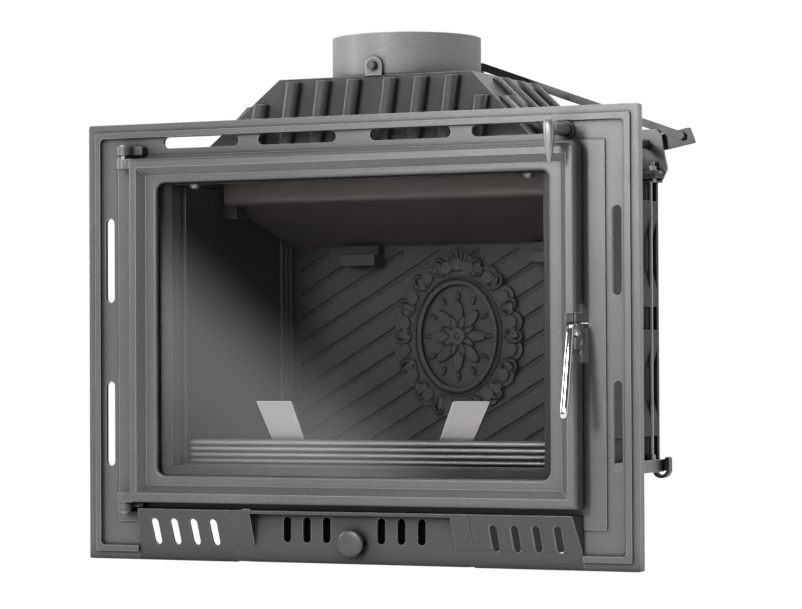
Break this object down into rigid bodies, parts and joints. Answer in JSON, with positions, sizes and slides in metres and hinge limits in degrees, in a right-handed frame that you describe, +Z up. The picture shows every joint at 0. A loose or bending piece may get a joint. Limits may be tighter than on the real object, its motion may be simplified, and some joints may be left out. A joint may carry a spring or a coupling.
{
  "type": "fireplace insert",
  "caption": "Cast-iron wood fireplace insert: framed glass door, ash drawer with air slide, ribbed dome, flue collar and a damper worked from the front.",
  "frame": {"origin": "on the floor under the ash box, on the axis of the flue", "axes": "+X to the right seen from the room, +Y into the chimney breast, +Z up"},
  "size_m": [0.745, 0.435, 0.658],
  "materials": {
    "graphite_casting": "matt graphite stove paint",
    "firebox_casting": "matt black casting",
    "black_sheet_steel": "matt black",
    "dark_steel": "dull grey",
    "bright_lever": "polished",
    "pane": "clear",
    "seal_fibre": "grey glass-fibre braid"
  },
  "bodies": {
    "casing": {"front_frame": "graphite_casting", "hinge_knuckles": "graphite_casting", "left_grille": "graphite_casting", "right_grille": "graphite_casting", "grille_screws": "dark_steel", "hearth_plate": "graphite_casting", "grate": "firebox_casting", "left_wall": "graphite_casting", "right_wall": "graphite_casting", "back_wall": "graphite_casting", "tie_rods": "dark_steel", "tie_washers": "dark_steel", "tie_nuts": "dark_steel", "left_liner": "firebox_casting", "right_liner": "firebox_casting", "fireback": "firebox_casting", "baffle": "black_sheet_steel", "baffle_brackets": "firebox_casting", "log_guard": "firebox_casting", "left_andiron": "firebox_casting", "right_andiron": "firebox_casting", "dome": "graphite_casting", "dome_flange": "graphite_casting", "lintel_bolts": "dark_steel", "lintel_nuts": "dark_steel", "flue_collar": "graphite_casting", "shaft_bracket": "graphite_casting", "bracket_stud": "dark_steel", "bracket_nuts": "dark_steel", "damper_bush": "graphite_casting", "latch_keeper": "graphite_casting", "hinge_pins": "dark_steel", "ash_box": "black_sheet_steel", "rear_lugs": "dark_steel", "lug_bolts": "dark_steel"},
    "door": {"door_frame": "graphite_casting", "door_glass": "pane", "glass_seal": "seal_fibre", "glass_clips": "dark_steel", "clip_screws": "dark_steel", "door_rope_seal": "seal_fibre", "lever_pin": "dark_steel"},
    "lever": {"door_lever": "bright_lever", "latch_cam": "dark_steel"},
    "ash_drawer": {"drawer_front": "graphite_casting", "ash_pan": "black_sheet_steel", "pan_screws": "dark_steel"},
    "air_control": {"air_shutter": "black_sheet_steel", "air_knob": "graphite_casting"},
    "damper_shaft_set": {"damper_shaft": "dark_steel", "damper_crank": "dark_steel", "crank_pin": "dark_steel", "damper_handle": "graphite_casting"},
    "damper": {"damper_axle": "dark_steel", "damper_plate": "dark_steel", "damper_screws": "dark_steel", "damper_lever": "dark_steel", "damper_lever_pin": "dark_steel"},
    "link": {"link_bar": "dark_steel"}
  },
  "joints": [
    {"name": "door_hinge", "type": "hinge", "parent": "casing", "child": "door", "pos_m": [-0.312, -0.178, 0.29], "axis": [0, 0, -1], "range_deg": [0, 110]},
    {"name": "lever_hinge", "type": "hinge", "parent": "door", "child": "lever", "pos_m": [0.297, -0.176, 0.283], "axis": [-1, 0, 0], "range_deg": [0, 40]},
    {"name": "drawer_slide", "type": "slide", "parent": "casing", "child": "ash_drawer", "axis": [0, -1, 0], "range_m": [0, 0.3]},
    {"name": "air_slide", "type": "slide", "parent": "ash_drawer", "child": "air_control", "axis": [1, 0, 0], "range_m": [0, 0.012]},
    {"name": "shaft_turn", "type": "hinge", "parent": "casing", "child": "damper_shaft_set", "pos_m": [0.281, 0, 0.5215], "axis": [0, -1, 0], "range_deg": [0, 90]},
    {"name": "damper_turn", "type": "hinge", "parent": "casing", "child": "damper", "pos_m": [0, 0, 0.616], "axis": [0, -1, 0], "range_deg": [0, 90]},
    {"name": "link_turn", "type": "hinge", "parent": "damper_shaft_set", "child": "link", "pos_m": [0.3236, 0.127, 0.5321], "axis": [0, -1, 0], "range_deg": [-90, 0]}
  ],
  "couplings": [
    {"joint": "damper_turn", "follows": "shaft_turn", "ratio": 1},
    {"joint": "link_turn", "follows": "shaft_turn", "ratio": -1}
  ]
}
